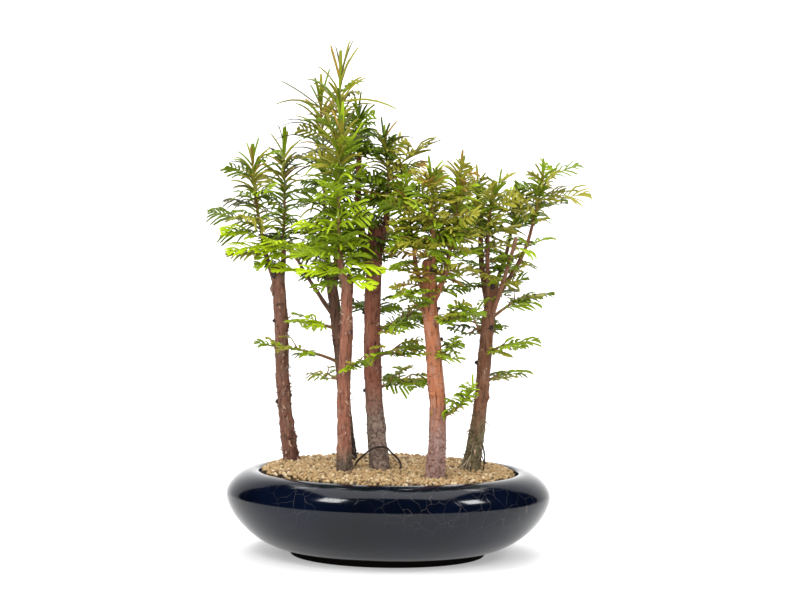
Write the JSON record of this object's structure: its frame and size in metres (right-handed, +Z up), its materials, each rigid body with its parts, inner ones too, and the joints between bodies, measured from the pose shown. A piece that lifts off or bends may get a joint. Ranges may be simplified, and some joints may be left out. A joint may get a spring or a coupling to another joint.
{
  "type": "dawn redwood bonsai group in an oval pot",
  "caption": "Slim dawn redwood trunks standing as a small forest in a wide oval glazed pot filled with granules, each with upright leaders and soft feathery sprays of needles.",
  "frame": {"origin": "middle of the pot's flat underside, where the pot stands on a surface", "axes": "+Z up along the trunks; +X along the pot's long axis, to the right in the picture; +Y away from the viewer"},
  "size_m": [0.3847, 0.2608, 0.5162],
  "materials": {
    "glaze": "gloss",
    "granules": "matte",
    "root": "matte",
    "trunk_bark": "matte",
    "bough_bark": "matte",
    "needles": "matte"
  },
  "bodies": {
    "root": {"pot": "glaze", "soil": "granules", "looped_root": "root", "trunk_left": "trunk_bark", "trunk_front_left": "trunk_bark", "trunk_back_left": "trunk_bark", "trunk_centre": "trunk_bark", "trunk_front_right": "trunk_bark", "trunk_right": "trunk_bark", "bough_left_outer": "bough_bark", "bough_left_inner": "bough_bark", "bough_front_left": "bough_bark", "bough_back_left": "bough_bark", "bough_back_spire": "bough_bark", "bough_back_low": "bough_bark", "bough_centre_left": "bough_bark", "bough_centre_right": "bough_bark", "bough_front_right_left": "bough_bark", "bough_front_right_mid": "bough_bark", "bough_front_right_side": "bough_bark", "bough_right_back": "bough_bark", "bough_right_mid": "bough_bark", "bough_right_stub": "bough_bark", "bough_right_outer": "bough_bark", "bough_right_inner": "bough_bark", "needles_left_outer": "needles", "needles_left_inner": "needles", "needles_front_left": "needles", "needles_back_left": "needles", "needles_back_spire": "needles", "needles_back_low": "needles", "needles_centre_left": "needles", "needles_centre_right": "needles", "needles_front_right_left": "needles", "needles_front_right_mid": "needles", "needles_front_right_side": "needles", "needles_right_back": "needles", "needles_right_mid": "needles", "needles_right_outer": "needles", "needles_right_inner": "needles", "sprays_left_wide": "needles", "sprays_left_high": "needles", "sprays_left_low": "needles", "sprays_front_left": "needles", "sprays_centre_high": "needles", "sprays_centre_mid": "needles", "sprays_centre_low": "needles", "sprays_centre_back": "needles", "sprays_front_right_high": "needles", "sprays_front_right_mid": "needles", "shoot_front_right_low": "needles", "sprays_front_right_left": "needles", "sprays_right_high": "needles", "sprays_right_mid": "needles", "sprays_right_low": "needles", "sprays_right_back": "needles"}
  },
  "joints": []
}
